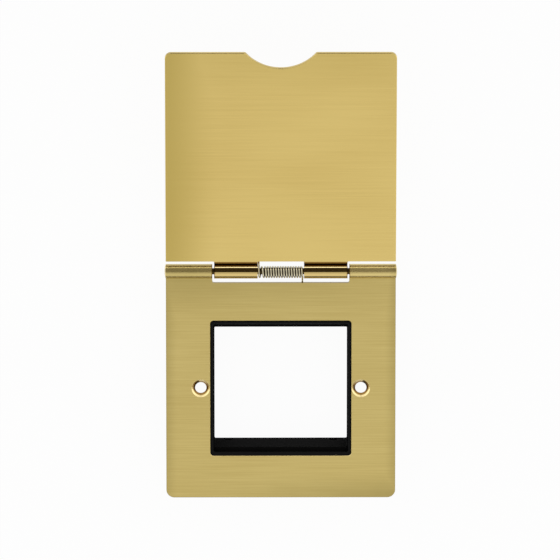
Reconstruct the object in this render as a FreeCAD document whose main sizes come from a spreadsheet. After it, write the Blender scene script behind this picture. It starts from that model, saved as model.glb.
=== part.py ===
"""Floor box cover: a brass floor plate for two modules, with a sprung lid on a rolled hinge.

Frame: millimetres, +Z up, X along the hinge, the hinge on the +Y side. The origin lies midway
between the two fixing holes, on the underside of the plate, which is the level of the floor.
The lid stands open, as it is held by its spring against its own weight.
"""
import FreeCAD, Part
import Sketcher
import math
import os

doc = FreeCAD.newDocument("FloorBoxCover")

# Driving dimensions, in millimetres and degrees
DIMENSIONS = {
    # Plate
    "side_margin": (16.8, "window to the side edges of the plate and of the lid"),
    "front_margin": (9.6, "flange behind the plate to the plate's front edge"),
    "sheet_gauge": (1.5, "thickness of the brass sheet of plate and lid"),
    "plate_corner": (3.0, "radius of the plate's front corners"),
    "edge_break": (0.2, "broken edge round the visible faces"),
    "fixing_inset": (3.75, "window's side to the middle of a fixing screw"),
    "fixing_bore": (4.3, "clearance bore of a fixing screw"),
    "fixing_sink": (6.8, "diameter of the countersink at the face"),
    "sink_angle": (90.0, "angle of the countersink"),
    "window_corner": (1.1, "radius of the window's corners"),
    "window_bevel": (0.25, "polished bevel round the window"),
    # Hinge
    "pin_gauge": (2.4, "diameter of the hinge pin"),
    "pin_play": (0.05, "radial clearance of the pin in the knuckles"),
    "head_width": (5.0, "diameter of the pin's peened heads"),
    "head_rim": (0.12, "straight part of a peened head"),
    "head_dome": (0.38, "height of the dome on a peened head"),
    "plate_seam": (204.0, "direction in which the plate's roll ends"),
    "notch_width": (51.5, "opening of the plate between its two knuckles"),
    "notch_reach": (5.0, "hinge axis to the plate's edge in that opening"),
    "notch_corner": (0.7, "radius in the corners of that opening"),
    "knuckle_gap": (0.73, "gap between a plate knuckle and a lid knuckle"),
    "lid_knuckle": (16.3, "length of a lid knuckle"),
    # Lid
    "lid_lift": (8.3, "slope of the open lid above the level of the floor"),
    "lid_gap": (0.3, "gap between the shut lid and the plate"),
    "lid_relief": (4.4, "hinge axis to the straight edge of the lid"),
    "relief_corner": (0.4, "radius in the corners beside the lid's knuckles"),
    "lid_joggle": (33.0, "slope of the joggle between lid and knuckle"),
    "joggle_bend": (0.4, "inside radius of the bend into the joggle"),
    "lid_seam": (11.0, "direction in which the lid's roll ends"),
    "lid_corner": (2.2, "radius of the lid's free corners"),
    "grip_width": (26.4, "finger notch in the free edge, at the edge"),
    "grip_depth": (6.2, "depth of the finger notch"),
    "grip_blend": (1.0, "radius that blends the notch into the edge"),
    # Spring
    "wire_gauge": (0.8, "diameter of the spring wire"),
    "coil_width": (3.85, "mean diameter of the coil"),
    "coil_turns": (16.0, "whole turns of the coil"),
    "coil_margin": (0.2, "gap between the coil and the lid's knuckles"),
    "coil_sag": (0.3, "distance by which the coil leans off the pin's axis"),
    "leg_reach": (6.0, "length of a leg behind the sheet that it presses on"),
    "leg_bend": (0.8, "radius of the bend in a leg"),
    "leg_play": (0.03, "gap between a leg and its sheet"),
    "leg_step": (0.4, "distance from the edge of the sheet to the bend"),
    "leg_clearance": (1.9, "tip of the leg behind the plate to the frame's flange"),
    # Module frame
    "frame_play": (0.1, "gap between the frame and the window, all round"),
    "frame_depth": (14.2, "depth of the frame below the face of the plate"),
    "wall_side": (0.9, "thickness of the rim at the sides of the window"),
    "wall_end": (1.2, "thickness of the rim at the ends of the window"),
    "recess_depth": (2.0, "depth of the recess for the modules' front"),
    "rim_bevel": (0.35, "bevel on the inner edge of the rim"),
    "bay_width": (50.0, "bay for two modules of 25 mm"),
    "bay_length": (47.3, "clear length between the two clip ledges"),
    "ledge_side": (0.4, "width of the ledge under the modules' front at a side"),
    "ledge_end": (1.45, "width of a clip ledge"),
    "bay_corner": (0.5, "radius in the corners of recess and bay"),
    "catch_inset": (5.1, "side of the bay to the middle of a catch slot"),
    "catch_width": (2.5, "width of a catch slot"),
    "catch_depth": (0.8, "depth of a catch slot into its ledge"),
    "catch_lip": (1.0, "back edge of the frame to a catch slot"),
    "catch_length": (2.0, "length of a catch slot"),
    "flange_gauge": (1.6, "thickness of the flange behind the plate"),
    "flange_side": (1.1, "width of the flange beside the window"),
    "flange_end": (7.0, "width of the flange at the ends of the window"),
    "flange_corner": (2.0, "radius of the flange's corners"),
    # Studs and nuts
    "stud_gauge": (3.0, "diameter of a weld stud"),
    "stud_length": (5.6, "length of a stud below the plate"),
    "stud_side": (6.4, "line of the window's side to the middle of a stud"),
    "stud_inset": (3.6, "window's end to the middle of a stud"),
    "stud_play": (0.25, "gap between a stud and the flange"),
    "nut_flats": (5.5, "width of a nut across its flats"),
    "nut_height": (2.4, "height of a nut"),
    "nut_play": (0.05, "gap between the bore of a nut and its stud"),
}

sheet = doc.addObject("Spreadsheet::Sheet", "Sizes")
for row, (alias, (number, meaning)) in enumerate(DIMENSIONS.items(), start=1):
    sheet.set(f"A{row}", meaning)
    sheet.set(f"B{row}", str(number))
    sheet.setAlias(f"B{row}", alias)
doc.recompute()


class Size:
    """A size as a number, with the expression that ties it to the sheet."""

    def __init__(self, value, text):
        self.value = value
        self.text = text

    @staticmethod
    def of(other):
        return other if isinstance(other, Size) else Size(float(other), repr(float(other)))

    def __add__(self, other):
        other = Size.of(other)
        return Size(self.value + other.value, f"({self.text} + {other.text})")

    def __sub__(self, other):
        other = Size.of(other)
        return Size(self.value - other.value, f"({self.text} - {other.text})")

    def __mul__(self, other):
        other = Size.of(other)
        return Size(self.value * other.value, f"({self.text} * {other.text})")

    def __truediv__(self, other):
        other = Size.of(other)
        return Size(self.value / other.value, f"({self.text} / {other.text})")

    def __neg__(self):
        return Size(-self.value, f"(-1 * {self.text})")


def size(alias):
    return Size(float(sheet.get(alias)), f"Sizes.{alias}")


def sine(angle):
    return Size(math.sin(math.radians(angle.value)), f"sin({angle.text})")


def cosine(angle):
    return Size(math.cos(math.radians(angle.value)), f"cos({angle.text})")


ZERO = Size.of(0)
QUARTER_TURN = 90.0


def around(centre, radius, angle):
    """The point at an angle, in degrees from the sketch's first axis, on a circle."""
    angle = Size.of(angle)
    return (centre[0] + radius * cosine(angle), centre[1] + radius * sine(angle))


def bind(thing, name, amount):
    thing.setExpression(name, Size.of(amount).text)


# Body, sketch and feature helpers

def new_body(label):
    body = doc.addObject("PartDesign::Body", label)
    body.Label = label
    return body


def new_sketch(body, name, role, height=None):
    """A sketch on one of the body's own origin planes, raised along its normal by height."""
    sketch = body.newObject("Sketcher::SketchObject", f"{body.Label}_{name}")
    plane = [item for item in body.Origin.OriginFeatures if item.Role == role][0]
    sketch.AttachmentSupport = [(plane, "")]
    sketch.MapMode = "FlatFace"
    if height is not None:
        bind(sketch, "AttachmentOffset.Base.z", height)
    return sketch


def pin_down(sketch, geometry, position, point, across=True, along=True):
    """Holds one point of the sketch at its place, measured from the sketch's origin."""
    for wanted, kind, amount in ((across, "DistanceX", point[0]), (along, "DistanceY", point[1])):
        if wanted:
            held = Sketcher.Constraint(kind, -1, 1, geometry, position, amount.value)
            bind(sketch, f"Constraints[{sketch.addConstraint(held)}]", amount)


def draw_loop(sketch, points, arcs=None):
    """A closed outline through points. arcs gives, for the edge that leaves a point, the centre
    of its arc and whether it turns anticlockwise.
    """
    arcs = arcs or {}
    count = len(points)
    ends = []
    for index, start in enumerate(points):
        finish = points[(index + 1) % count]
        here = FreeCAD.Vector(start[0].value, start[1].value, 0)
        there = FreeCAD.Vector(finish[0].value, finish[1].value, 0)
        if index not in arcs:
            edge = sketch.addGeometry(Part.LineSegment(here, there), False)
            ends.append((edge, 1, 2))
            continue
        centre, anticlockwise = arcs[index]
        middle = FreeCAD.Vector(centre[0].value, centre[1].value, 0)
        first, last = (here, there) if anticlockwise else (there, here)
        begin = math.atan2(first.y - middle.y, first.x - middle.x)
        end = math.atan2(last.y - middle.y, last.x - middle.x)
        circle = Part.Circle(middle, FreeCAD.Vector(0, 0, 1), (first - middle).Length)
        edge = sketch.addGeometry(Part.ArcOfCircle(circle, begin, end), False)
        ends.append((edge, 1, 2) if anticlockwise else (edge, 2, 1))
        chord = there - here
        pin_down(sketch, edge, 3, centre, abs(chord.y) > abs(chord.x), abs(chord.y) <= abs(chord.x))
    for index, point in enumerate(points):
        edge, start, _ = ends[index]
        before, _, finish = ends[index - 1]
        sketch.addConstraint(Sketcher.Constraint("Coincident", before, finish, edge, start))
        pin_down(sketch, edge, start, point)


def draw_rectangle(sketch, low, high):
    draw_loop(sketch, [low, (high[0], low[1]), high, (low[0], high[1])])


def draw_rounded(sketch, half_width, half_length, radius):
    """A rectangle about the sketch's origin with rounded corners."""
    points = []
    arcs = {}
    corners = ((1, -1), (1, 1), (-1, 1), (-1, -1))
    for number, (side, end) in enumerate(corners):
        centre = ((half_width - radius) * side, (half_length - radius) * end)
        arcs[len(points)] = (centre, True)
        points.append(around(centre, radius, (number - 1) * QUARTER_TURN))
        points.append(around(centre, radius, number * QUARTER_TURN))
    draw_loop(sketch, points, arcs)


def draw_circle(sketch, centre, diameter):
    middle = FreeCAD.Vector(centre[0].value, centre[1].value, 0)
    circle = Part.Circle(middle, FreeCAD.Vector(0, 0, 1), diameter.value / 2)
    edge = sketch.addGeometry(circle, False)
    held = Sketcher.Constraint("Diameter", edge, diameter.value)
    bind(sketch, f"Constraints[{sketch.addConstraint(held)}]", diameter)
    pin_down(sketch, edge, 3, centre)


def feature(body, kind, name, sketch, length=None, symmetric=False, reverse=False):
    """A pad or pocket of a sketch; a pocket with no length goes right through."""
    made = body.newObject(f"PartDesign::{kind}", f"{body.Label}_{name}")
    made.Profile = sketch
    if symmetric:
        made.SideType = "Symmetric"
    if length is None:
        made.Type = "ThroughAll"
    else:
        bind(made, "Length", length)
    made.Reversed = reverse
    doc.recompute()
    return made


def dress(body, kind, name, chosen, amount):
    """A fillet or chamfer on the edges of the body's tip that a test picks out."""
    tip = body.Tip
    names = [f"Edge{n}" for n, edge in enumerate(tip.Shape.Edges, start=1) if chosen(edge)]
    made = body.newObject(f"PartDesign::{kind}", f"{body.Label}_{name}")
    made.Base = (tip, names)
    bind(made, "Radius" if kind == "Fillet" else "Size", amount)
    doc.recompute()
    return made


CLOSE = 1e-4


def near(one, other):
    return abs(one - other) < CLOSE


def upright_at(spots):
    """A test for edges that run along Z at one of the given places."""
    def chosen(edge):
        box = edge.BoundBox
        narrow = box.XLength < CLOSE and box.YLength < CLOSE
        return narrow and any(
            near(box.XMin, across.value) and near(box.YMin, along.value) for across, along in spots
        )
    return chosen


def both_sides(across, along):
    return [(across, along), (-across, along)]


# Sizes that several pieces share

gauge = size("sheet_gauge")
play = size("frame_play")
bay_half_width = size("bay_width") / 2
bay_half_length = size("bay_length") / 2
recess_half_width = bay_half_width + size("ledge_side")
recess_half_length = bay_half_length + size("ledge_end")
window_half_width = recess_half_width + size("wall_side") + play
window_half_length = recess_half_length + size("wall_end") + play
half_width = window_half_width + size("side_margin")
plate_front = window_half_length + size("flange_end") + size("front_margin")
leg_room = size("leg_reach") + size("leg_clearance")
notch_edge = window_half_length + size("flange_end") + leg_room
bore = size("pin_gauge") / 2 + size("pin_play")
barrel = bore + gauge
axis_across = notch_edge + size("notch_reach")
axis = (axis_across, barrel)
spring_half = size("notch_width") / 2 - size("knuckle_gap") - size("lid_knuckle")
CLEAR = barrel * 2
WIRE_SIDES = 6
RUNS_PER_TURN = 15


# Base plate: one blank of brass sheet, rolled round the pin at its back edge into two knuckles

plate = new_body("base_plate")
section = new_sketch(plate, "section", "YZ_Plane")
seam = size("plate_seam")
outer_end = around(axis, barrel, seam)
inner_end = around(axis, bore, seam)
draw_loop(
    section,
    [
        (-plate_front, ZERO),
        (axis_across, ZERO),
        outer_end,
        inner_end,
        (axis_across, gauge),
        (-plate_front, gauge),
    ],
    {1: (axis, True), 3: (axis, False)},
)
feature(plate, "Pad", "blank", section, half_width * 2, symmetric=True)

notch_half = size("notch_width") / 2
notch = new_sketch(plate, "notch", "XY_Plane")
draw_rectangle(notch, (-notch_half, notch_edge), (notch_half, axis_across + barrel + CLEAR))
feature(plate, "Pocket", "notch_cut", notch, symmetric=True)
dress(plate, "Fillet", "notch_corners", upright_at(both_sides(notch_half, notch_edge)),
      size("notch_corner"))

window = new_sketch(plate, "window", "XY_Plane")
draw_rounded(window, window_half_width, window_half_length, size("window_corner"))
feature(plate, "Pocket", "window_cut", window, symmetric=True)

fixings = new_sketch(plate, "fixings", "XY_Plane", gauge)
for side in (-1, 1):
    fixing_across = window_half_width + size("fixing_inset")
    draw_circle(fixings, (fixing_across * side, ZERO), size("fixing_bore"))
doc.recompute()
holes = plate.newObject("PartDesign::Hole", "base_plate_fixing_holes")
holes.Profile = fixings
doc.recompute()
holes.DepthType = "ThroughAll"
holes.HoleCutType = "Countersink"
holes.HoleCutCustomValues = True
bind(holes, "Diameter", size("fixing_bore"))
bind(holes, "HoleCutDiameter", size("fixing_sink"))
bind(holes, "HoleCutCountersinkAngle", size("sink_angle"))
doc.recompute()

dress(plate, "Fillet", "front_corners",
      upright_at(both_sides(half_width, -plate_front)), size("plate_corner"))


def on_face_round_window(edge):
    box = edge.BoundBox
    inside = abs(box.XMin) < window_half_width.value + CLOSE
    inside = inside and abs(box.XMax) < window_half_width.value + CLOSE
    inside = inside and box.YMax < window_half_length.value + CLOSE
    inside = inside and box.YMin > -window_half_length.value - CLOSE
    corner_reach = math.hypot(box.Center.x, box.Center.y)
    wide = corner_reach > min(window_half_width.value, window_half_length.value) - gauge.value
    at_face = near(box.ZMin, gauge.value) and near(box.ZMax, gauge.value)
    return inside and wide and at_face


dress(plate, "Chamfer", "window_bevel_cut", on_face_round_window, size("window_bevel"))


def on_front_of_face(edge):
    box = edge.BoundBox
    at_face = near(box.ZMin, gauge.value) and near(box.ZMax, gauge.value)
    at_side = near(max(abs(box.XMin), abs(box.XMax)), half_width.value)
    at_front = near(box.YMin, -plate_front.value)
    return at_face and (at_side or at_front)


dress(plate, "Chamfer", "face_edges", on_front_of_face, size("edge_break"))


# Lid: one blank of the same sheet, joggled and rolled round the pin into two knuckles. It is
# drawn lying back level, with its inner face up and the hinge axis as its origin.

lid = new_body("lid")
lid_length = plate_front + axis_across
inner_face = bore - size("lid_gap")
outer_face = inner_face - gauge
middle_face = inner_face - gauge / 2
slope = size("lid_joggle")
bend = size("joggle_bend") + gauge / 2
roll = bore + gauge / 2
tangent = sine(slope) / cosine(slope)
half_tangent = sine(slope / 2) / cosine(slope / 2)
crease = roll * sine(slope) + (middle_face + roll * cosine(slope)) / tangent
bend_start = crease + bend * half_tangent
bend_centre = (bend_start, middle_face - bend)
hinge_centre = (ZERO, ZERO)
joggle_side = slope + QUARTER_TURN
roll_start = slope - QUARTER_TURN
lid_end = size("lid_seam")

lid_section = new_sketch(lid, "section", "YZ_Plane")
draw_loop(
    lid_section,
    [
        (lid_length, inner_face),
        (bend_start, inner_face),
        around(bend_centre, bend + gauge / 2, joggle_side),
        around(hinge_centre, bore, roll_start),
        around(hinge_centre, bore, lid_end),
        around(hinge_centre, barrel, lid_end),
        around(hinge_centre, barrel, roll_start),
        around(bend_centre, bend - gauge / 2, joggle_side),
        (bend_start, outer_face),
        (lid_length, outer_face),
    ],
    {
        1: (bend_centre, True),
        3: (hinge_centre, False),
        5: (hinge_centre, True),
        7: (bend_centre, False),
    },
)
feature(lid, "Pad", "blank", lid_section, half_width * 2, symmetric=True)

knuckle_end = spring_half + size("lid_knuckle")
relief_edge = size("lid_relief")
behind = -(barrel + CLEAR)


def draw_relief(sketch, left, right, round_left, round_right):
    """An outline that cuts back the hinge edge from left to right, rounded beside a knuckle."""
    radius = size("relief_corner")
    points = [(left, behind), (right, behind)]
    arcs = {}
    if round_right:
        centre = (right - radius, relief_edge - radius)
        arcs[len(points)] = (centre, True)
        points += [around(centre, radius, 0), around(centre, radius, QUARTER_TURN)]
    else:
        points.append((right, relief_edge))
    if round_left:
        centre = (left + radius, relief_edge - radius)
        arcs[len(points)] = (centre, True)
        points += [around(centre, radius, QUARTER_TURN), around(centre, radius, 2 * QUARTER_TURN)]
    else:
        points.append((left, relief_edge))
    draw_loop(sketch, points, arcs)


reliefs = new_sketch(lid, "reliefs", "XY_Plane")
draw_relief(reliefs, -spring_half, spring_half, True, True)
draw_relief(reliefs, knuckle_end, half_width + CLEAR, True, False)
draw_relief(reliefs, -(half_width + CLEAR), -knuckle_end, False, True)
feature(lid, "Pocket", "relief_cut", reliefs, symmetric=True)
dress(lid, "Fillet", "free_corners", upright_at(both_sides(half_width, lid_length)),
      size("lid_corner"))

grip_half = size("grip_width") / 2
grip_depth = size("grip_depth")
grip_radius = (grip_half * grip_half + grip_depth * grip_depth) / (grip_depth * 2)
grip = new_sketch(lid, "grip", "XY_Plane")
draw_circle(grip, (ZERO, lid_length - grip_depth + grip_radius), grip_radius * 2)
feature(lid, "Pocket", "grip_cut", grip, symmetric=True)
dress(lid, "Fillet", "grip_blends", upright_at(both_sides(grip_half, lid_length)),
      size("grip_blend"))


def round_face(level):
    """A test for the edges of the lid's inner or outer face, away from its knuckles."""
    def chosen(edge):
        box = edge.BoundBox
        at_face = near(box.ZMin, level.value) and near(box.ZMax, level.value)
        return at_face and box.YMax > relief_edge.value + gauge.value
    return chosen


dress(lid, "Chamfer", "inner_edges", round_face(inner_face), size("edge_break"))
dress(lid, "Chamfer", "outer_edges", round_face(outer_face), size("edge_break"))
bind(lid, "Placement.Base.y", axis_across)
bind(lid, "Placement.Base.z", barrel)
lid.Placement.Rotation = FreeCAD.Rotation(FreeCAD.Vector(1, 0, 0), 1)
bind(lid, "Placement.Rotation.Angle", size("lid_lift"))


# Hinge pin: a plain rod through all four knuckles, with both ends peened to a low dome

pin = new_body("hinge_pin")
pin_half = size("pin_gauge") / 2
head_half = size("head_width") / 2
dome = size("head_dome")
dome_start = half_width + size("head_rim")
dome_radius = (dome * dome + head_half * head_half) / (dome * 2)
dome_centre = dome_start + dome - dome_radius
pin_section = new_sketch(pin, "section", "XY_Plane")
draw_loop(
    pin_section,
    [
        (-(dome_start + dome), ZERO),
        (dome_start + dome, ZERO),
        (dome_start, head_half),
        (half_width, head_half),
        (half_width, pin_half),
        (-half_width, pin_half),
        (-half_width, head_half),
        (-dome_start, head_half),
    ],
    {1: ((dome_centre, ZERO), True), 7: ((-dome_centre, ZERO), True)},
)
turned = pin.newObject("PartDesign::Revolution", "hinge_pin_turned")
turned.Profile = pin_section
turned.ReferenceAxis = (pin_section, ["H_Axis"])
turned.Angle = 4 * QUARTER_TURN
doc.recompute()
bind(pin, "Placement.Base.y", axis_across)
bind(pin, "Placement.Base.z", barrel)


# Module frame: a black moulding that fills the window, carries two modules on clip ledges at its
# two ends and bears on the back of the plate with a flange

frame = new_body("module_frame")
sleeve = new_sketch(frame, "sleeve", "XY_Plane", gauge)
draw_rounded(sleeve, window_half_width - play, window_half_length - play,
             size("window_corner") - play)
feature(frame, "Pad", "sleeve_wall", sleeve, size("frame_depth"), reverse=True)

flange = new_sketch(frame, "flange", "XY_Plane")
flange_half_width = window_half_width + size("flange_side")
flange_half_length = window_half_length + size("flange_end")
draw_rounded(flange, flange_half_width, flange_half_length, size("flange_corner"))
feature(frame, "Pad", "flange_wall", flange, size("flange_gauge"), reverse=True)

bay = new_sketch(frame, "bay", "XY_Plane")
draw_rounded(bay, bay_half_width, bay_half_length, size("bay_corner"))
feature(frame, "Pocket", "bay_cut", bay, symmetric=True)

recess = new_sketch(frame, "recess", "XY_Plane", gauge)
draw_rounded(recess, recess_half_width, recess_half_length, size("bay_corner"))
feature(frame, "Pocket", "recess_cut", recess, size("recess_depth"))


def round_recess(edge):
    box = edge.BoundBox
    at_face = near(box.ZMin, gauge.value) and near(box.ZMax, gauge.value)
    reach = max(abs(box.XMin), abs(box.XMax)) < recess_half_width.value + CLOSE
    return at_face and reach and max(abs(box.YMin), abs(box.YMax)) < recess_half_length.value + CLOSE


dress(frame, "Chamfer", "rim_bevel_cut", round_recess, size("rim_bevel"))

back_edge = gauge - size("frame_depth")
catches = new_sketch(frame, "catches", "XY_Plane", back_edge + size("catch_lip"))
catch_half = size("catch_width") / 2
for side in (-1, 1):
    middle = (bay_half_width - size("catch_inset")) * side
    reach = bay_half_length + size("catch_depth")
    draw_rectangle(catches, (middle - catch_half, -reach), (middle + catch_half, reach))
feature(frame, "Pocket", "catch_cut", catches, size("catch_length"), reverse=True)

stud_across = window_half_width - size("stud_side")
stud_along = window_half_length + size("stud_inset")
STUD_PLACES = [(-1, -1), (1, -1), (1, 1), (-1, 1)]
stud_holes = new_sketch(frame, "stud_holes", "XY_Plane")
for side, end in STUD_PLACES:
    draw_circle(stud_holes, (stud_across * side, stud_along * end),
                size("stud_gauge") + size("stud_play") * 2)
feature(frame, "Pocket", "stud_hole_cut", stud_holes, symmetric=True)


# Studs and nuts: four studs welded to the back of the plate hold the frame's flange

def place_at_stud(body, side, end, height):
    bind(body, "Placement.Base.x", stud_across * side)
    bind(body, "Placement.Base.y", stud_along * end)
    bind(body, "Placement.Base.z", height)


def make_stud(number, side, end):
    stud = doc.addObject("Part::Cylinder", f"frame_stud_{number}")
    stud.Label = f"frame_stud_{number}"
    bind(stud, "Radius", size("stud_gauge") / 2)
    bind(stud, "Height", size("stud_length"))
    place_at_stud(stud, side, end, -size("stud_length"))
    return stud


NUT_SIDES = 6


def make_nut(number, side, end):
    nut = new_body(f"frame_nut_{number}")
    hexagon = new_sketch(nut, "hexagon", "XY_Plane")
    step = 4 * QUARTER_TURN / NUT_SIDES
    corner = size("nut_flats") / 2 / cosine(Size.of(step / 2))
    draw_loop(hexagon, [around((ZERO, ZERO), corner, step * n) for n in range(NUT_SIDES)])
    draw_circle(hexagon, (ZERO, ZERO), size("stud_gauge") + size("nut_play") * 2)
    feature(nut, "Pad", "blank", hexagon, size("nut_height"), reverse=True)
    place_at_stud(nut, side, end, -size("flange_gauge"))
    return nut


studs = []
nuts = []
for number, (side, end) in enumerate(STUD_PLACES, start=1):
    studs.append(make_stud(number, side, end))
    nuts.append(make_nut(number, side, end))


# Torsion spring: a coil of wire round the pin. One leg presses up behind the plate's edge, the
# other presses on the outer face of the lid.

def number_of(alias):
    return float(sheet.get(alias))


def in_section(along, height):
    """A point or a step in the plane across the hinge."""
    return FreeCAD.Vector(0, along, height)


def leg_meets_coil(centre, radius, corner, turning):
    """Where a straight leg from corner meets the coil over its upper side: the direction seen
    from the coil's centre, and the length of the straight run.
    """
    back = corner - centre
    spread = math.acos(radius / back.Length)
    return math.atan2(back.z, back.y) + turning * spread, back.Length * math.sin(spread)


def spring_path():
    """The wire's centre line, from the tip behind the lid to the tip behind the plate. Its
    turns are drawn in short straight runs, to keep the many turns light.
    """
    radius = number_of("coil_width") / 2
    wire = number_of("wire_gauge") / 2
    stand_off = wire + number_of("leg_play")
    step = number_of("leg_step")
    hinge = in_section(axis_across.value, barrel.value)
    centre = hinge - in_section(number_of("coil_sag"), 0)
    lift = math.radians(number_of("lid_lift"))
    outwards = in_section(math.cos(lift), math.sin(lift))
    inwards = in_section(-math.sin(lift), math.cos(lift))

    plate_bend = in_section(notch_edge.value + step, -stand_off)
    plate_tip = plate_bend - in_section(step + number_of("leg_reach"), 0)
    lid_level = inwards * (outer_face.value - stand_off)
    lid_bend = hinge + outwards * (number_of("lid_relief") - step) + lid_level
    lid_tip = lid_bend + outwards * (step + number_of("leg_reach"))
    lid_angle, lid_run = leg_meets_coil(centre, radius, lid_bend, 1)
    plate_angle, plate_run = leg_meets_coil(centre, radius, plate_bend, -1)
    plate_angle %= 2 * math.pi

    circle = 2 * math.pi
    turns = number_of("coil_turns") + (plate_angle - lid_angle) / circle
    half_bay = spring_half.value - number_of("coil_margin") - wire
    rise = 2 * half_bay / (turns * circle * radius + lid_run + plate_run)
    coil_start = -half_bay + lid_run * rise
    coil_length = rise * circle * radius * turns
    runs = math.ceil(turns * RUNS_PER_TURN)
    coil = []
    for run in range(runs + 1):
        angle = lid_angle + circle * turns * run / runs
        place = centre + in_section(radius * math.cos(angle), radius * math.sin(angle))
        place.x = coil_start + coil_length * run / runs
        coil.append(place)

    for point in (lid_bend, lid_tip):
        point.x = -half_bay
    for point in (plate_bend, plate_tip):
        point.x = half_bay
    lid_leg = bent_leg(lid_tip, lid_bend, coil[0])
    plate_leg = bent_leg(coil[-1], plate_bend, plate_tip)
    return Part.Wire(lid_leg + Part.makePolygon(coil).Edges + plate_leg)


def bent_leg(first, corner, last):
    """Two straight runs joined by an arc of the leg's bend radius."""
    radius = number_of("leg_bend")
    one = (first - corner).normalize()
    two = (last - corner).normalize()
    half = one.getAngle(two) / 2
    reach = radius / math.tan(half)
    middle_way = (one + two).normalize()
    bend_middle = corner + middle_way * (radius / math.sin(half) - radius)
    arc = Part.Arc(corner + one * reach, bend_middle, corner + two * reach)
    return [
        Part.LineSegment(first, corner + one * reach).toShape(),
        arc.toShape(),
        Part.LineSegment(corner + two * reach, last).toShape(),
    ]


path = doc.addObject("Part::Feature", "spring_path")
path.Shape = spring_path()
wire_section = doc.addObject("Part::RegularPolygon", "spring_wire")
wire_section.Polygon = WIRE_SIDES
bind(wire_section, "Circumradius", size("wire_gauge") / 2)
first_edge = path.Shape.OrderedEdges[0]
tip_point = path.Shape.OrderedVertexes[0].Point
along_leg = first_edge.tangentAt(first_edge.FirstParameter)
wire_section.Placement = FreeCAD.Placement(
    tip_point, FreeCAD.Rotation(FreeCAD.Vector(0, 0, 1), along_leg)
)
spring = doc.addObject("Part::Sweep", "torsion_spring")
spring.Label = "torsion_spring"
spring.Sections = [wire_section]
spring.Spine = (path, [f"Edge{n}" for n in range(1, len(path.Shape.Edges) + 1)])
spring.Solid = True
spring.Frenet = False
spring.Transition = "Right corner"
doc.recompute()


# Check and write every piece

pieces = [plate, lid, pin, spring, frame] + studs + nuts
for item in doc.Objects:
    if "Invalid" in item.State or "Error" in item.State:
        raise RuntimeError(f"{item.Name} could not be rebuilt: {item.State}")
os.makedirs("parts", exist_ok=True)
for piece in pieces:
    shape = piece.Shape
    if shape.isNull() or not shape.isValid() or len(shape.Solids) != 1:
        raise RuntimeError(f"{piece.Label} is not one valid solid")
    shape.exportStep(f"parts/{piece.Label}.step")
    print(piece.Label, round(shape.Volume, 2), shape.BoundBox)
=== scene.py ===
import math

import bpy
from mathutils import Matrix, Vector


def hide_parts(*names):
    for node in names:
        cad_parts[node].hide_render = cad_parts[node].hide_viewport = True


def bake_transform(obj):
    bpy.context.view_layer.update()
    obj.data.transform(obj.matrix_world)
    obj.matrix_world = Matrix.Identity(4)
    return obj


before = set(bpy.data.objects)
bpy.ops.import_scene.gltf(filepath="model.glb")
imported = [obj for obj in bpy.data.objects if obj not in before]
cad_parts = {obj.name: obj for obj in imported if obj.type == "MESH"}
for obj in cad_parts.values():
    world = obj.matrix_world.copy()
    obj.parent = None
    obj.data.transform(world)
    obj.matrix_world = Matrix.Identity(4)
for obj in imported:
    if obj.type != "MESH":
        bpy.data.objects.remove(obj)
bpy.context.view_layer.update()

# The picture: the cover lies on a white table and is seen from above, a little from the lid's
# side, through a long lens. A broad soft light hangs over the front of the cover; behind the
# lid the room is dark, which draws the black stripes on the polished knuckles.

scene = bpy.context.scene
scene.view_settings.view_transform = "Standard"

VIEW_TILT = math.radians(16.0)
VIEW_DRIFT = math.radians(0.2)
VIEW_DISTANCE = 3.9
VIEW_MIDDLE = Vector((-0.0003, 0.0425, 0.0015))
PICTURE_WIDTH = 0.2104
SENSOR_WIDTH = 36.0
NEAREST_SEEN = 0.1
FURTHEST_SEEN = 20.0


def set_up_camera():
    """The photograph's view: long lens, upright lines of the plate kept upright."""
    back = Vector(
        (
            -math.sin(VIEW_DRIFT),
            math.sin(VIEW_TILT) * math.cos(VIEW_DRIFT),
            math.cos(VIEW_TILT) * math.cos(VIEW_DRIFT),
        )
    )
    right = Vector((0.0, 1.0, 0.0)).cross(back).normalized()
    up = back.cross(right)
    lens = bpy.data.cameras.new("photograph")
    lens.sensor_width = SENSOR_WIDTH
    lens.lens = SENSOR_WIDTH * VIEW_DISTANCE / PICTURE_WIDTH
    lens.clip_start = NEAREST_SEEN
    lens.clip_end = FURTHEST_SEEN
    camera = bpy.data.objects.new("photograph", lens)
    scene.collection.objects.link(camera)
    turn = Matrix((right, up, back)).transposed().to_4x4()
    camera.matrix_world = Matrix.Translation(VIEW_MIDDLE + back * VIEW_DISTANCE) @ turn
    scene.camera = camera


set_up_camera()


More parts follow.
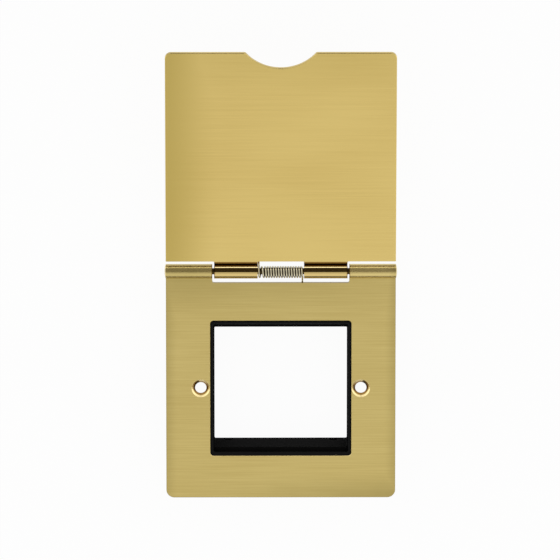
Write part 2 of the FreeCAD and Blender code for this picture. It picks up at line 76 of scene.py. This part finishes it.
class Nodes:
    """Fills a node tree. A value is a number or colour, or another node's output."""

    def __init__(self, tree):
        self.tree = tree

    def feed(self, socket, value):
        if isinstance(value, bpy.types.NodeSocket):
            self.tree.links.new(value, socket)
        else:
            socket.default_value = value

    def node(self, kind, inputs=None, **settings):
        made = self.tree.nodes.new(kind)
        for name, value in settings.items():
            setattr(made, name, value)
        for key, value in (inputs or {}).items():
            self.feed(made.inputs[key], value)
        return made

    def reckon(self, operation, *values):
        return self.node("ShaderNodeMath", dict(enumerate(values)), operation=operation).outputs[0]

    def plus(self, first, second):
        return self.reckon("ADD", first, second)

    def minus(self, first, second):
        return self.reckon("SUBTRACT", first, second)

    def times(self, first, second):
        return self.reckon("MULTIPLY", first, second)

    def greater(self, first, second):
        return self.reckon("MAXIMUM", first, second)

    def unsigned(self, value):
        return self.reckon("ABSOLUTE", value)

    def spread(self, value, low, high):
        """Goes smoothly from 0 to 1 as value goes from low to high."""
        inputs = {0: value, 1: low, 2: high, 3: 0.0, 4: 1.0}
        made = self.node("ShaderNodeMapRange", inputs, interpolation_type="SMOOTHSTEP")
        return made.outputs[0]

    def share(self, amount, start, end):
        """Goes straight from start to end as amount goes from 0 to 1."""
        return self.node("ShaderNodeMapRange", {0: amount, 3: start, 4: end}).outputs[0]

    def blend(self, amount, first, second):
        inputs = {0: amount, 6: first, 7: second}
        return self.node("ShaderNodeMix", inputs, data_type="RGBA").outputs[2]


class Finish(Nodes):
    """A material in the making."""

    def __init__(self, name):
        self.material = bpy.data.materials.new(name)
        self.material.use_nodes = True
        super().__init__(self.material.node_tree)
        self.surface = self.tree.nodes["Principled BSDF"]
        self.place = self.tree.nodes.new("ShaderNodeTexCoord")

    def grain(self, spacing, detail=3.0, roughness=0.55):
        """Noise on the piece's own coordinates, with a typical spacing along X, Y and Z."""
        stretched = self.node(
            "ShaderNodeMapping",
            {"Vector": self.place.outputs["Object"], "Scale": [1 / step for step in spacing]},
        )
        inputs = {"Vector": stretched.outputs[0], "Scale": 1.0, "Detail": detail}
        inputs["Roughness"] = roughness
        return self.node("ShaderNodeTexNoise", inputs).outputs[0]

    def position(self):
        split = self.node("ShaderNodeSeparateXYZ", {0: self.place.outputs["Object"]})
        return split.outputs[0], split.outputs[1], split.outputs[2]

    def facing(self):
        """The way the surface faces on the piece's own axes."""
        split = self.node("ShaderNodeSeparateXYZ", {0: self.place.outputs["Normal"]})
        return split.outputs[0], split.outputs[1], split.outputs[2]

    def distance_across(self, across, along):
        """Distance in a plane from two coordinates already measured from its middle."""
        squares = self.plus(self.times(across, across), self.times(along, along))
        return self.reckon("SQRT", squares)

    def relief(self, height, depth):
        inputs = {"Height": height, "Strength": 1.0, "Distance": depth}
        return self.node("ShaderNodeBump", inputs).outputs[0]

    def set(self, **values):
        sockets = {socket.name.lower(): socket for socket in self.surface.inputs}
        for name, value in values.items():
            self.feed(sockets[name.replace("_", " ")], value)

    def give_to(self, *names):
        for name in names:
            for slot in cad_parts[name].material_slots:
                slot.material = self.material


def seen_shares(finish):
    """1 for what the camera, a reflection or glass sees, 0 for light that falls on things."""
    path = finish.node("ShaderNodeLightPath")
    sees = finish.greater(path.outputs["Is Camera Ray"], path.outputs["Is Glossy Ray"])
    return finish.greater(sees, path.outputs["Is Transmission Ray"])


FLOOR_LEVEL = -0.0128
FLOOR_REACH = 3.0
SHADOW_SHARE = 0.05
WHITE = (1.0, 1.0, 1.0, 1.0)
PAPER = (0.9, 0.9, 0.9, 1.0)


def lay_floor():
    """White table top under the module frame, which takes a faint soft shadow."""
    mesh = bpy.data.meshes.new("table_top")
    reach = FLOOR_REACH
    corners = [(-reach, -reach), (reach, -reach), (reach, reach), (-reach, reach)]
    mesh.from_pydata([(x, y, FLOOR_LEVEL) for x, y in corners], [], [(0, 1, 2, 3)])
    floor = bpy.data.objects.new("table_top", mesh)
    scene.collection.objects.link(floor)
    paper = Finish("table_white")
    paper.set(base_color=PAPER, roughness=0.9, specular_ior_level=0.1)
    white = paper.node("ShaderNodeEmission", {"Color": WHITE, "Strength": 1.0})
    lit = paper.times(seen_shares(paper), 1.0 - SHADOW_SHARE)
    mixed = paper.node(
        "ShaderNodeMixShader",
        {0: lit, 1: paper.surface.outputs[0], 2: white.outputs[0]},
    )
    output = paper.tree.nodes["Material Output"]
    paper.feed(output.inputs["Surface"], mixed.outputs[0])
    mesh.materials.append(paper.material)


lay_floor()

ROOM_LIGHT = 0.72
DARK_LIGHT = 0.04
WALL_LIGHT = 1.6
ROOM_COLOUR = (1.0, 0.99, 0.97, 1.0)
DARK_COLOUR = (1.0, 0.72, 0.42, 1.0)
REAR_STRIP_HALF = (0.09, 0.04)
REAR_STRIP_STARTS = (-0.02, 0.03)
REAR_STRIP_BOTTOM = (0.28, 0.36)
FRONT_PATCH_HALF = (0.2, 0.1)
FRONT_PATCH_STARTS = (-0.3, -0.6)
FRONT_PATCH_TOP = (0.26, 0.2)
SIDE_WALLS_START = (0.6, 0.8)
WALLS_TOP = (0.36, 0.28)


def light_the_room():
    """Even room light and a pale low wall, with a dark strip behind the lid up to overhead.
    The pairs above are parts of a direction of length 1, between which a light fades in."""
    world = bpy.data.worlds.new("studio")
    scene.world = world
    world.use_nodes = True
    world.node_tree.nodes.clear()
    sky = Nodes(world.node_tree)
    generated = sky.node("ShaderNodeTexCoord").outputs["Generated"]
    across, along, height = sky.node("ShaderNodeSeparateXYZ", {0: generated}).outputs
    beside = sky.unsigned(across)
    behind = sky.spread(along, *REAR_STRIP_STARTS)
    rear = sky.times(sky.spread(beside, *REAR_STRIP_HALF), behind)
    rear = sky.times(rear, sky.spread(height, *REAR_STRIP_BOTTOM))
    front = sky.times(sky.spread(beside, *FRONT_PATCH_HALF), sky.spread(along, *FRONT_PATCH_STARTS))
    front = sky.times(front, sky.spread(height, *FRONT_PATCH_TOP))
    dark = sky.greater(rear, front)
    colour = sky.blend(dark, ROOM_COLOUR, DARK_COLOUR)
    walls = sky.greater(behind, sky.spread(beside, *SIDE_WALLS_START))
    low = sky.times(walls, sky.spread(height, *WALLS_TOP))
    level = sky.share(dark, sky.share(low, ROOM_LIGHT, WALL_LIGHT), DARK_LIGHT)
    room = sky.node("ShaderNodeBackground", {"Color": colour, "Strength": level})
    white = sky.node("ShaderNodeBackground", {"Color": WHITE, "Strength": 1.0})
    seen = sky.node("ShaderNodeLightPath").outputs["Is Camera Ray"]
    shown = sky.node("ShaderNodeMixShader", {0: seen, 1: room.outputs[0], 2: white.outputs[0]})
    sky.node("ShaderNodeOutputWorld", {"Surface": shown.outputs[0]})


light_the_room()

SOFTBOX_MIDDLE = Vector((0.12, -0.75, 0.85))
SOFTBOX_TARGET = Vector((0.0, 0.04, 0.0))
SOFTBOX_WIDTH = 1.0
SOFTBOX_HEIGHT = 0.9
SOFTBOX_LEVEL = 0.3


def hang_softbox():
    """A flat soft light; its level is how bright its face is, where 1 is white."""
    lamp = bpy.data.lights.new("front_softbox", "AREA")
    lamp.shape = "RECTANGLE"
    lamp.size = SOFTBOX_WIDTH
    lamp.size_y = SOFTBOX_HEIGHT
    lamp.energy = SOFTBOX_LEVEL * math.pi * SOFTBOX_WIDTH * SOFTBOX_HEIGHT
    softbox = bpy.data.objects.new("front_softbox", lamp)
    scene.collection.objects.link(softbox)
    softbox.location = SOFTBOX_MIDDLE
    aim = SOFTBOX_TARGET - SOFTBOX_MIDDLE
    softbox.rotation_euler = aim.to_track_quat("-Z", "Y").to_euler()


hang_softbox()


# Base plate: one blank of 1.5 mm brass sheet, brushed along the hinge and lacquered. Its window
# is bevelled and its screw holes are countersunk; its back edge is rolled into two knuckles.

HINGE_ALONG = 0.0463
HINGE_HEIGHT = 0.00275
BRASS = (0.72, 0.575, 0.215, 1.0)
BRASS_DEEP = (0.625, 0.485, 0.165, 1.0)
BRASS_PALE = (0.86, 0.71, 0.37, 1.0)
# Colour of the painted shade along the plate's margins.
BRASS_MARGIN_SHADE = (0.42, 0.33, 0.105, 1.0)
BRASS_CUT = (0.22, 0.16, 0.05, 1.0)
# Colour of painted shade in the lid's joggle, the countersinks and by the knuckle gaps.
BRASS_PAINTED_SHADE = (0.26, 0.145, 0.03, 1.0)
STROKE_ALONG_HINGE = 0.25
PLATE_STROKE = 0.03
PLATE_STROKE_LINE = 0.00016
PLATE_CLOUDS = (0.05, 0.02, 0.02)
PLATE_FACE = (0.9, 0.95)
PLATE_OUTER_EDGE = (0.036, 0.037)
PLATE_KNUCKLE_REACH = (0.0032, 0.0029)
PLATE_SIDES = (-0.045, 0.045)
SIDE_MARGIN = (0.0385, 0.0445)
FRONT_MARGIN = (-0.032, -0.044)
BACK_MARGIN = (0.026, 0.044)
MARGIN_SHADE_PATCH = (0.012, 0.012, 0.012)
HOLE_ACROSS = 0.03015
SINK_REACH = (0.0036, 0.0034)
HOLE_SHADE = (0.003, 0.0026)
GAP_ACROSS = 0.025385
GAP_SHADE = (0.00075, 0.00055)


def brush(finish, stroke, line):
    """Strokes along the hinge: a pattern for tone and a finer one for the surface's relief."""
    tone = finish.grain((stroke, line * 3, line * 3), detail=4.0, roughness=0.6)
    fine = finish.grain((stroke / 3, line, line), detail=2.0)
    return tone, fine


def distance_from_hinge(finish):
    across, along, height = finish.position()
    return finish.distance_across(
        finish.minus(along, HINGE_ALONG),
        finish.minus(height, HINGE_HEIGHT),
    )


def shade_by_gap(finish, across):
    """1 on the ends of the knuckles by the gap between them, where painted shade goes."""
    from_gap = finish.minus(finish.unsigned(across), GAP_ACROSS)
    return finish.spread(finish.unsigned(from_gap), *GAP_SHADE)


def run_along_hinge(finish, amount):
    """Stretches the gloss across the brush strokes."""
    finish.set(anisotropic=amount, anisotropic_rotation=STROKE_ALONG_HINGE)
    along = finish.node("ShaderNodeCombineXYZ", {0: 1.0, 1: 0.0, 2: 0.0})
    finish.feed(finish.surface.inputs["Tangent"], along.outputs[0])


def painted_margin_shade(finish, across, along):
    """Painted shade: darker brass along the outer edges, stronger at the front and back ends, in
    patches.
    """
    beside = finish.spread(finish.unsigned(across), *SIDE_MARGIN)
    rightwards = finish.spread(across, *PLATE_SIDES)
    front = finish.times(finish.spread(along, *FRONT_MARGIN), rightwards)
    back = finish.times(finish.spread(along, *BACK_MARGIN), finish.share(rightwards, 0.55, 0.15))
    ends = finish.greater(finish.times(front, 0.8), back)
    margin_shade = finish.greater(finish.times(beside, 0.6), ends)
    patches = finish.grain(MARGIN_SHADE_PATCH, detail=2.0)
    return finish.times(margin_shade, finish.share(patches, 0.6, 1.2))


def brass_plate():
    finish = Finish("plate_brass")
    tone, fine = brush(finish, PLATE_STROKE, PLATE_STROKE_LINE)
    clouds = finish.grain(PLATE_CLOUDS, detail=1.0)
    mixed = finish.plus(finish.times(tone, 0.7), finish.times(clouds, 0.3))
    colour = finish.blend(finish.spread(mixed, 0.3, 0.7), BRASS_DEEP, BRASS)

    across, along, height = finish.position()
    beside = finish.unsigned(across)
    from_hole = finish.distance_across(finish.minus(beside, HOLE_ACROSS), along)
    turned = finish.spread(from_hole, *SINK_REACH)
    rolled = finish.spread(distance_from_hinge(finish), *PLATE_KNUCKLE_REACH)
    flat = finish.greater(finish.spread(finish.facing()[2], *PLATE_FACE), rolled)
    cut = finish.minus(1.0, flat)
    further = finish.greater(beside, finish.unsigned(along))
    outer = finish.times(cut, finish.spread(further, *PLATE_OUTER_EDGE))
    polished = finish.greater(turned, finish.minus(cut, outer))
    pale = finish.greater(polished, finish.times(rolled, 0.3))
    # Painted shade on the knuckles' ends by the gaps and in the inner part of each countersink.
    painted_shade = finish.times(rolled, shade_by_gap(finish, across))
    painted_shade = finish.greater(painted_shade, finish.spread(from_hole, *HOLE_SHADE))

    colour = finish.blend(finish.times(pale, 0.8), colour, BRASS_PALE)
    colour = finish.blend(outer, colour, BRASS_CUT)
    # Painted shade along the plate's outer margins.
    colour = finish.blend(painted_margin_shade(finish, across, along), colour, BRASS_MARGIN_SHADE)
    colour = finish.blend(painted_shade, colour, BRASS_PAINTED_SHADE)
    rough = finish.share(fine, 0.26, 0.36)
    rough = finish.minus(rough, finish.times(polished, 0.12))
    rough = finish.minus(rough, finish.times(rolled, 0.06))
    finish.set(
        base_color=colour,
        metallic=1.0,
        roughness=rough,
        coat_weight=0.2,
        coat_roughness=0.2,
        normal=finish.relief(fine, 0.000003),
    )
    run_along_hinge(finish, 0.5)
    return finish


brass_plate().give_to("base_plate")


# Lid: one blank of the same sheet. Its inner face is satin, its outer face is brushed, and its
# two knuckles are rolled the other way from the plate's and polished. Its joggle carries painted
# shade, and the tops of its knuckles a painted highlight.

BRASS_SATIN = (0.69, 0.525, 0.18, 1.0)
BRASS_SHADED = (0.60, 0.44, 0.135, 1.0)
# Colour of the lid's painted shade towards its left edge and free end.
BRASS_LID_SHADE = (0.466, 0.35, 0.086, 1.0)
BRASS_POLISHED = (0.68, 0.51, 0.20, 1.0)
LID_STROKE = 0.04
LID_STROKE_LINE = 0.00014
LID_CLOUDS = (0.06, 0.04, 0.04)
LID_KNUCKLE_REACH = (0.0036, 0.003)
LID_LEFT = (-0.022, -0.0445)
LID_FREE_END = (0.112, 0.136)
JOGGLE_SLOPE = 1.75
JOGGLE_REACH = (0.0056, 0.005)
JOGGLE_BOTTOM = (-0.0005, 0.0)
BENT_DOWN = (-0.15, -0.2)
BENT_UP = (0.0, 0.1)
CREST_SLOPE = 0.95
CREST_BOTTOM = (0.0, 0.0005)
SLOPE_FADE = (0.0, 0.0001)


def beyond_slope(finish, beyond, above, slope):
    """1 on the lid's side of a line through the hinge's axis that leans over the lid."""
    return finish.spread(finish.minus(beyond, finish.times(above, slope)), *SLOPE_FADE)


def brass_lid():
    finish = Finish("lid_brass")
    tone, fine = brush(finish, LID_STROKE, LID_STROKE_LINE)
    clouds = finish.grain(LID_CLOUDS, detail=1.0)
    mixed = finish.plus(finish.times(tone, 0.4), finish.times(clouds, 0.6))
    colour = finish.blend(finish.spread(mixed, 0.2, 0.6), BRASS_SHADED, BRASS_SATIN)

    across, along, height = finish.position()
    from_hinge = distance_from_hinge(finish)
    rolled = finish.spread(from_hinge, *LID_KNUCKLE_REACH)
    # Painted shade: the lid is darker towards its left edge and its free end.
    left = finish.times(finish.spread(across, *LID_LEFT), 0.8)
    shaded_free_end = finish.times(finish.spread(along, *LID_FREE_END), 0.25)
    beyond = finish.minus(along, HINGE_ALONG)
    above = finish.minus(height, HINGE_HEIGHT)
    up_the_lid = finish.facing()[1]
    bent = finish.greater(
        finish.spread(up_the_lid, *BENT_DOWN),
        finish.spread(up_the_lid, *BENT_UP),
    )
    # Painted shade in the joggle's groove, where the lid bends into its knuckles.
    shaded_groove = finish.times(
        beyond_slope(finish, beyond, above, JOGGLE_SLOPE),
        finish.spread(above, *JOGGLE_BOTTOM),
    )
    shaded_groove = finish.times(finish.times(shaded_groove, bent), finish.spread(from_hinge, *JOGGLE_REACH))
    # Painted highlight: the top of the lid's knuckles, above a line through the axis, is made pale.
    highlit_crest = finish.times(beyond_slope(finish, beyond, above, CREST_SLOPE), rolled)
    highlit_crest = finish.times(highlit_crest, finish.spread(above, *CREST_BOTTOM))
    # Painted shade on the knuckles' ends by the gaps.
    ends = finish.times(rolled, shade_by_gap(finish, across))

    colour = finish.blend(finish.greater(left, shaded_free_end), colour, BRASS_LID_SHADE)
    colour = finish.blend(rolled, colour, BRASS_POLISHED)
    colour = finish.blend(highlit_crest, colour, BRASS_PALE)
    colour = finish.blend(finish.greater(shaded_groove, ends), colour, BRASS_PAINTED_SHADE)
    rough = finish.times(finish.share(fine, 0.22, 0.28), finish.share(rolled, 1.0, 0.25))
    finish.set(
        base_color=colour,
        metallic=1.0,
        roughness=rough,
        coat_weight=0.2,
        coat_roughness=0.1,
        normal=finish.relief(fine, 0.000001),
    )
    run_along_hinge(finish, 0.3)
    return finish


brass_lid().give_to("lid")


# Hinge pin: a drawn brass rod, pushed through the four knuckles and peened over at both ends.
# Between its heads, inside the knuckles and the coil, it is painted dark as shade.

HEAD_ACROSS = (0.0432, 0.0429)
PIN_TURNING = (0.0002, 0.002, 0.002)
BRASS_PIN_SHADE = (0.06, 0.04, 0.015, 1.0)


def brass_pin():
    finish = Finish("pin_brass")
    turned = finish.grain(PIN_TURNING, detail=2.0)
    # Painted shade on the pin between its heads.
    pin_shade = finish.spread(finish.unsigned(finish.position()[0]), *HEAD_ACROSS)
    finish.set(
        base_color=finish.blend(pin_shade, finish.blend(turned, BRASS, BRASS_PALE), BRASS_PIN_SHADE),
        metallic=1.0,
        roughness=finish.share(turned, 0.15, 0.25),
        normal=finish.relief(turned, 0.000002),
    )
    return finish


brass_pin().give_to("hinge_pin")


# Torsion spring: one bright steel wire in sixteen turns round the pin. One leg bends under the
# edge of the plate and the other behind the lid, so it draws the lid shut.

WIRE_GAUGE = 0.00074
WIRE_SIDES = 14
COIL_RADIUS = 0.001925
COIL_SAG = 0.0003
COIL_LEFT = 0.00828
COIL_RIGHT = 0.00812
COIL_TURNS = 16
POINTS_PER_TURN = 28
FIRST_TURN_STRETCH = 0.0007
FIRST_TURN_REACH = 1.5
LEG_BEND = 0.0008
LEG_BEND_POINTS = 8
LEG_LENGTH = 0.0064
LID_LIFT = math.radians(8.3)
LID_LEG_OUT = 0.004
LID_LEG_BEHIND = 0.00098
PLATE_LEG_ALONG = 0.0417
PLATE_LEG_HEIGHT = -0.00043
WIRE_DRAWING = (0.0003, 0.0003, 0.0003)
WIRE_BRIGHT = (0.62, 0.56, 0.38, 1.0)
WIRE_BRIGHTEST = (0.80, 0.74, 0.54, 1.0)
# Colour of the painted shade on the wire's sides between the turns.
WIRE_SHADE = (0.03, 0.022, 0.01, 1.0)
WIRE_SIDE = (0.4, 0.75)
COIL_REACH = (0.003, 0.0026)


def wire_tree():
    """Geometry Nodes for a coil with a bent leg at each end, swept with a round wire."""
    tree = bpy.data.node_groups.new("wound_wire", "GeometryNodeTree")
    tree.interface.new_socket("Wire", in_out="OUTPUT", socket_type="NodeSocketGeometry")
    wanted = {
        "Wire Gauge": "NodeSocketFloat",
        "Wire Sides": "NodeSocketInt",
        "Coil Points": "NodeSocketInt",
        "Coil Radius": "NodeSocketFloat",
        "Coil Middle": "NodeSocketVector",
        "Coil Length": "NodeSocketFloat",
        "First Angle": "NodeSocketFloat",
        "Wound Angle": "NodeSocketFloat",
        "First Turn Stretch": "NodeSocketFloat",
        "Leg Bend": "NodeSocketFloat",
        "Lid Leg Tip": "NodeSocketVector",
        "Lid Leg Corner": "NodeSocketVector",
        "Plate Leg Corner": "NodeSocketVector",
        "Plate Leg Tip": "NodeSocketVector",
        "Wire Finish": "NodeSocketMaterial",
    }
    for name, kind in wanted.items():
        tree.interface.new_socket(name, in_out="INPUT", socket_type=kind)
    wire = Nodes(tree)
    given = wire.node("NodeGroupInput").outputs

    def choose(test, otherwise, then):
        inputs = {"Switch": test, "False": otherwise, "True": then}
        return wire.node("GeometryNodeSwitch", inputs, input_type="VECTOR").outputs[0]

    # Points 0 and 1 are the lid's leg, then come the coil's, and the last two are the plate's leg.
    index = wire.node("GeometryNodeInputIndex").outputs[0]
    last_turning = wire.minus(given["Coil Points"], 1.0)
    part = wire.reckon("DIVIDE", wire.minus(index, 2.0), last_turning)
    wound = wire.times(part, given["Wound Angle"])
    angle = wire.plus(given["First Angle"], wound)
    turn_number = wire.reckon("DIVIDE", wound, 2 * math.pi)
    first_turn = wire.spread(turn_number, 0.0, FIRST_TURN_REACH)
    even = wire.times(wire.minus(part, 0.5), given["Coil Length"])
    stretched = wire.times(given["First Turn Stretch"], wire.minus(first_turn, part))
    ring = {
        0: wire.plus(even, stretched),
        1: wire.times(given["Coil Radius"], wire.reckon("COSINE", angle)),
        2: wire.times(given["Coil Radius"], wire.reckon("SINE", angle)),
    }
    ring = wire.node("ShaderNodeCombineXYZ", ring).outputs[0]
    coil = wire.node("ShaderNodeVectorMath", {0: ring, 1: given["Coil Middle"]}).outputs[0]

    before_coil = wire.reckon("LESS_THAN", index, 1.5)
    at_tip = wire.reckon("LESS_THAN", index, 0.5)
    after_coil = wire.reckon("GREATER_THAN", index, wire.plus(given["Coil Points"], 1.5))
    at_end = wire.reckon("GREATER_THAN", index, wire.plus(given["Coil Points"], 2.5))
    lid_leg = choose(at_tip, given["Lid Leg Corner"], given["Lid Leg Tip"])
    plate_leg = choose(at_end, given["Plate Leg Corner"], given["Plate Leg Tip"])
    place = choose(before_coil, choose(after_coil, coil, plate_leg), lid_leg)

    count = wire.plus(given["Coil Points"], 4.0)
    points = wire.node("GeometryNodePoints", {"Count": count, "Position": place}).outputs[0]
    line = {"Points": points, "Weight": index}
    line = wire.node("GeometryNodePointsToCurves", line).outputs[0]
    at_corner = wire.greater(wire.minus(before_coil, at_tip), wire.minus(after_coil, at_end))
    filleted = {
        "Curve": line,
        "Radius": wire.times(at_corner, given["Leg Bend"]),
        "Count": LEG_BEND_POINTS,
        "Limit Radius": True,
    }
    filleted = wire.node("GeometryNodeFilletCurve", filleted, mode="POLY").outputs[0]
    half_gauge = wire.reckon("DIVIDE", given["Wire Gauge"], 2.0)
    section = {"Resolution": given["Wire Sides"], "Radius": half_gauge}
    section = wire.node("GeometryNodeCurvePrimitiveCircle", section).outputs[0]
    swept = {"Curve": filleted, "Profile Curve": section, "Fill Caps": True}
    swept = wire.node("GeometryNodeCurveToMesh", swept).outputs[0]
    real = wire.node("GeometryNodeRealizeInstances", {0: swept}).outputs[0]
    finished = {0: real, "Material": given["Wire Finish"]}
    finished = wire.node("GeometryNodeSetMaterial", finished).outputs[0]
    wire.node("NodeGroupOutput", {0: finished})
    return tree


def spring_steel():
    finish = Finish("spring_steel")
    drawn = finish.grain(WIRE_DRAWING)
    # Painted shade on the sides of the wire, between the turns of the coil.
    shaded_side = finish.spread(finish.unsigned(finish.facing()[0]), *WIRE_SIDE)
    shaded_side = finish.times(shaded_side, finish.spread(distance_from_hinge(finish), *COIL_REACH))
    bright = finish.blend(drawn, WIRE_BRIGHT, WIRE_BRIGHTEST)
    finish.set(
        base_color=finish.blend(shaded_side, bright, WIRE_SHADE),
        metallic=1.0,
        roughness=finish.share(drawn, 0.06, 0.12),
        normal=finish.relief(drawn, 0.000001),
    )
    return finish


def leg_meets_coil(middle, corner, turning):
    """Where a straight leg from its corner runs into the coil, as an angle round the coil."""
    back = corner - middle
    spread = math.acos(COIL_RADIUS / back.length)
    return math.atan2(back.z, back.y) + turning * spread


def wind_spring():
    hinge = Vector((0.0, HINGE_ALONG, HINGE_HEIGHT))
    middle = hinge - Vector((0.0, COIL_SAG, 0.0))
    left = Vector((-COIL_LEFT, 0.0, 0.0))
    right = Vector((COIL_RIGHT, 0.0, 0.0))
    outwards = Vector((0.0, math.cos(LID_LIFT), math.sin(LID_LIFT)))
    inwards = Vector((0.0, -math.sin(LID_LIFT), math.cos(LID_LIFT)))
    lid_corner = left + hinge + outwards * LID_LEG_OUT - inwards * LID_LEG_BEHIND
    lid_tip = lid_corner + outwards * LEG_LENGTH
    plate_corner = Vector((COIL_RIGHT, PLATE_LEG_ALONG, PLATE_LEG_HEIGHT))
    plate_tip = plate_corner - Vector((0.0, LEG_LENGTH, 0.0))
    first = leg_meets_coil(middle, lid_corner - left, 1)
    last = leg_meets_coil(middle, plate_corner - right, -1) % (2 * math.pi)
    wound = COIL_TURNS * 2 * math.pi + last - first
    values = {
        "Wire Gauge": WIRE_GAUGE,
        "Wire Sides": WIRE_SIDES,
        "Coil Points": round(wound / (2 * math.pi) * POINTS_PER_TURN),
        "Coil Radius": COIL_RADIUS,
        "Coil Middle": middle + (left + right) / 2,
        "Coil Length": COIL_LEFT + COIL_RIGHT,
        "First Angle": first,
        "Wound Angle": wound,
        "First Turn Stretch": FIRST_TURN_STRETCH,
        "Leg Bend": LEG_BEND,
        "Lid Leg Tip": lid_tip,
        "Lid Leg Corner": lid_corner,
        "Plate Leg Corner": plate_corner,
        "Plate Leg Tip": plate_tip,
        "Wire Finish": spring_steel().material,
    }
    spring = bpy.data.objects.new("torsion_spring_wire", bpy.data.meshes.new("torsion_spring_wire"))
    scene.collection.objects.link(spring)
    winder = spring.modifiers.new("winder", "NODES")
    winder.node_group = wire_tree()
    for item in winder.node_group.interface.items_tree:
        if item.name in values:
            winder[item.identifier] = values[item.name]
    shown = spring.evaluated_get(bpy.context.evaluated_depsgraph_get())
    mesh = bpy.data.meshes.new_from_object(shown)
    spring.modifiers.remove(winder)
    spring.data = mesh
    mesh.shade_smooth()
    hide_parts("torsion_spring")
    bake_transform(spring)


wind_spring()


# Module frame: black moulded plastic, satin with a fine spark-eroded grain. It fills the window
# and is held to the back of the plate by its flange.

PLASTIC_BLACK = (0.002, 0.002, 0.002, 1.0)
PLASTIC_HANDLED = (0.004, 0.004, 0.004, 1.0)
ERODED_GRAIN = (0.00025, 0.00025, 0.00025)
HANDLED_PATCH = (0.012, 0.012, 0.012)
BELOW_RIM = (0.0006, -0.0006)


def black_plastic():
    finish = Finish("frame_plastic")
    eroded = finish.grain(ERODED_GRAIN, detail=4.0, roughness=0.7)
    inside = finish.spread(finish.position()[2], *BELOW_RIM)
    handled = finish.grain(HANDLED_PATCH, detail=2.0)
    finish.set(
        base_color=finish.blend(handled, PLASTIC_BLACK, PLASTIC_HANDLED),
        roughness=finish.greater(finish.share(eroded, 0.3, 0.45), inside),
        specular_ior_level=0.08,
        normal=finish.relief(eroded, 0.000008),
    )
    return finish


black_plastic().give_to("module_frame")


# Studs and nuts: four zinc-plated weld studs on the back of the plate, each with a hexagon nut
# that clamps the frame's flange. The thread is a relief in the plating, at M3's pitch.

THREAD_PITCH = 0.0005
THREAD_DEPTH = 0.00003
ZINC_MOTTLE = (0.0008, 0.0008, 0.0008)
ZINC_GREY = (0.50, 0.51, 0.52, 1.0)
ZINC_PALE = (0.66, 0.67, 0.68, 1.0)


def plated_steel():
    finish = Finish("fixing_steel")
    thread = finish.reckon("SINE", finish.times(finish.position()[2], 2 * math.pi / THREAD_PITCH))
    mottle = finish.grain(ZINC_MOTTLE)
    finish.set(
        base_color=finish.blend(mottle, ZINC_GREY, ZINC_PALE),
        metallic=1.0,
        roughness=finish.share(mottle, 0.3, 0.45),
        normal=finish.relief(thread, THREAD_DEPTH),
    )
    return finish


plated = plated_steel()
for number in range(1, 5):
    plated.give_to(f"frame_stud_{number}", f"frame_nut_{number}")
